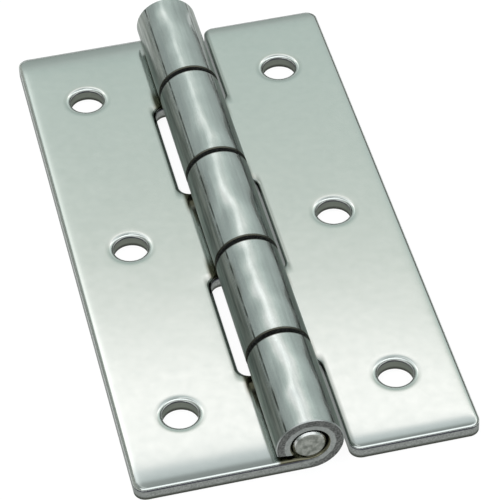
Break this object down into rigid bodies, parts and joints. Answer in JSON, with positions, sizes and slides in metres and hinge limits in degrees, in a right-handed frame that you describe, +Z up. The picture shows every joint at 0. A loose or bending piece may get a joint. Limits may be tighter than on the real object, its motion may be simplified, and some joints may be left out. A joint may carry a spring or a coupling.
{
  "type": "flat hinge",
  "caption": "Flat hinge of rolled stainless sheet, lying open, with plain round screw holes and interleaved knuckles on a plain pin.",
  "frame": {"origin": "middle of the open hinge, on the undersides, straight below the pin's axis", "axes": "+X across to the right leaf, +Y along the pin, +Z up from the undersides of the leaves"},
  "size_m": [0.0462, 0.089, 0.009],
  "materials": {
    "stainless_sheet": "tumbled and polished",
    "stainless_pin": "drawn wire, cut and chamfered"
  },
  "bodies": {
    "left": {"left_leaf": "stainless_sheet", "hinge_pin": "stainless_pin"},
    "right": {"right_leaf": "stainless_sheet"}
  },
  "joints": [
    {"name": "leaf_hinge", "type": "hinge", "parent": "left", "child": "right", "pos_m": [0, 0, 0.0045], "axis": [0, -1, 0], "range_deg": [-93, 180]}
  ]
}
